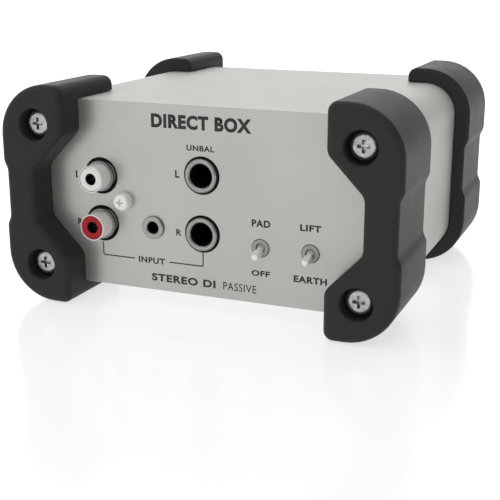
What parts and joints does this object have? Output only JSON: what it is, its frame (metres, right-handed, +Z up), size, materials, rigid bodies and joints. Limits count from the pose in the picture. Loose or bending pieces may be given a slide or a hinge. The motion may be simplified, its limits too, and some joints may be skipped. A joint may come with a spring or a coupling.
{
  "type": "direct injection box",
  "caption": "Passive stereo direct injection box: aluminium sleeve with plate ends, rubber corner guards, phono, mini and quarter-inch inputs, toggle switches and rear three-pin outputs.",
  "frame": {"origin": "on the ground under the middle of the box, at the middle of the overall footprint", "axes": "+X to the right of someone facing the front panel, +Y to the rear, +Z up"},
  "size_m": [0.1286, 0.1236, 0.069],
  "materials": {
    "sleeve_aluminium": "bead-blasted and anodised, satin silver",
    "panel_aluminium": "bead-blasted and anodised, satin silver-grey with printed legends",
    "guard_rubber": "moulded, matte dark grey",
    "zinc_steel": "zinc plated",
    "bright_nickel": "bright nickel plate",
    "connector_shell": "die-cast zinc, satin nickel plate",
    "black_plastic": "moulded, black",
    "white_plastic": "moulded, white",
    "red_plastic": "moulded, red",
    "board_laminate": "glass-epoxy laminate with green solder mask",
    "lamination_steel": "stacked silicon-steel laminations",
    "winding": "enamelled copper wire"
  },
  "bodies": {
    "enclosure": {"sleeve": "sleeve_aluminium", "front_panel": "panel_aluminium", "rear_panel": "panel_aluminium", "guard_front_left": "guard_rubber", "guard_front_right": "guard_rubber", "guard_rear_left": "guard_rubber", "guard_rear_right": "guard_rubber", "guard_screw_front_left_upper": "zinc_steel", "guard_screw_front_left_lower": "zinc_steel", "guard_screw_front_right_upper": "zinc_steel", "guard_screw_front_right_lower": "zinc_steel", "guard_screw_rear_left_upper": "zinc_steel", "guard_screw_rear_left_lower": "zinc_steel", "guard_screw_rear_right_upper": "zinc_steel", "guard_screw_rear_right_lower": "zinc_steel", "rca_block": "black_plastic", "rca_barrel_upper": "bright_nickel", "rca_barrel_lower": "bright_nickel", "rca_insulator_upper": "white_plastic", "rca_insulator_lower": "red_plastic", "rca_contact_upper": "bright_nickel", "rca_contact_lower": "bright_nickel", "rca_block_screw": "zinc_steel", "minijack_body": "black_plastic", "minijack_nut": "bright_nickel", "jack_body_upper": "black_plastic", "jack_nut_upper": "bright_nickel", "jack_body_lower": "black_plastic", "jack_nut_lower": "bright_nickel", "switch_frame_pad": "zinc_steel", "switch_body_pad": "black_plastic", "switch_frame_lift": "zinc_steel", "switch_body_lift": "black_plastic", "xlr_shell_left": "connector_shell", "xlr_insert_left": "black_plastic", "xlr_pin_left_1": "bright_nickel", "xlr_pin_left_2": "bright_nickel", "xlr_pin_left_3": "bright_nickel", "xlr_screw_left_upper": "zinc_steel", "xlr_screw_left_lower": "zinc_steel", "xlr_shell_right": "connector_shell", "xlr_insert_right": "black_plastic", "xlr_pin_right_1": "bright_nickel", "xlr_pin_right_2": "bright_nickel", "xlr_pin_right_3": "bright_nickel", "xlr_screw_right_upper": "zinc_steel", "xlr_screw_right_lower": "zinc_steel", "circuit_board": "board_laminate", "transformer_core_left": "lamination_steel", "transformer_winding_left": "winding", "transformer_core_right": "lamination_steel", "transformer_winding_right": "winding"},
    "pad_lever": {"switch_lever_pad": "bright_nickel"},
    "lift_lever": {"switch_lever_lift": "bright_nickel"}
  },
  "joints": [
    {"name": "pad_toggle", "type": "hinge", "parent": "enclosure", "child": "pad_lever", "pos_m": [0.01895, -0.049, 0.0225], "axis": [-1, 0, 0], "range_deg": [0, 26]},
    {"name": "lift_toggle", "type": "hinge", "parent": "enclosure", "child": "lift_lever", "pos_m": [0.0347, -0.049, 0.0225], "axis": [-1, 0, 0], "range_deg": [0, 26]}
  ]
}
